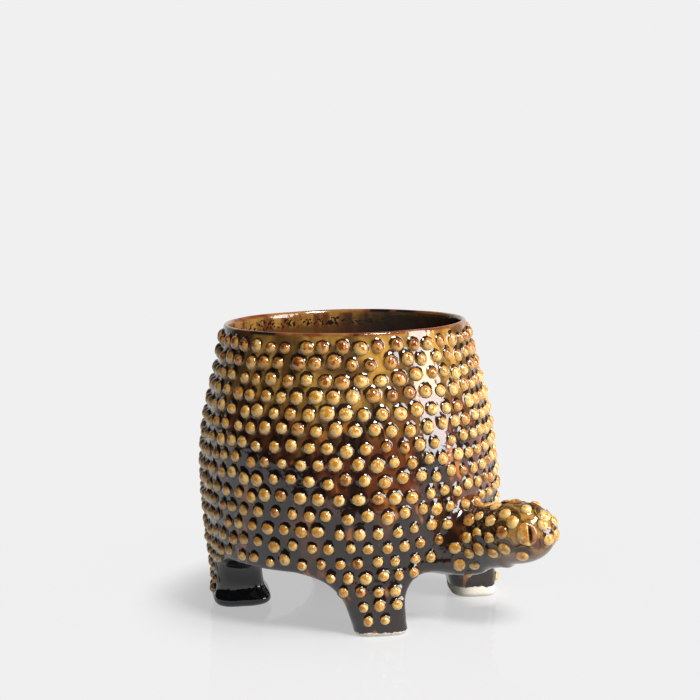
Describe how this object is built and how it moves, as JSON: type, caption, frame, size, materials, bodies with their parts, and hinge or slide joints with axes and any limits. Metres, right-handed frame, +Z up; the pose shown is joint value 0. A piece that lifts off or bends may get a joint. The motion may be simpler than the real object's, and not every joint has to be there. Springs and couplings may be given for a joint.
{
  "type": "animal shaped planter",
  "caption": "Tortoise-shaped glazed stoneware planter: studded barrel pot on stub legs with a neck and head, open at the top to hold a plant.",
  "frame": {"origin": "on the table, under the middle of the planter's whole length and width", "axes": "+Z up, +X towards the head, +Y to the animal's left"},
  "size_m": [0.1943, 0.1496, 0.14],
  "materials": {
    "pot_glaze": "glossy amber glaze that pools to dark brown",
    "leg_glaze": "glossy dark brown glaze, bare cream clay on the sole",
    "head_glaze": "glossy amber brown glaze",
    "eye_glaze": "glossy amber glaze with a dark slit",
    "pellet_glaze": "glossy light amber glaze, thin on the crowns"
  },
  "bodies": {
    "root": {"base_slab": "pot_glaze", "eye_left": "eye_glaze", "eye_right": "eye_glaze", "head": "head_glaze", "head_pellets": "pellet_glaze", "leg_front_left": "leg_glaze", "leg_front_left_pellets": "pellet_glaze", "leg_front_right": "leg_glaze", "leg_front_right_pellets": "pellet_glaze", "leg_rear_left": "leg_glaze", "leg_rear_left_pellets": "pellet_glaze", "leg_rear_right": "leg_glaze", "leg_rear_right_pellets": "pellet_glaze", "neck": "head_glaze", "neck_pellets": "pellet_glaze", "pellet_row_01": "pellet_glaze", "pellet_row_02": "pellet_glaze", "pellet_row_03": "pellet_glaze", "pellet_row_04": "pellet_glaze", "pellet_row_05": "pellet_glaze", "pellet_row_06": "pellet_glaze", "pellet_row_07": "pellet_glaze", "pellet_row_08": "pellet_glaze", "pellet_row_09": "pellet_glaze", "pellet_row_10": "pellet_glaze", "pellet_row_11": "pellet_glaze", "pellet_row_12": "pellet_glaze", "pellet_row_13": "pellet_glaze", "pellet_row_14": "pellet_glaze", "pot_wall": "pot_glaze"}
  },
  "joints": []
}
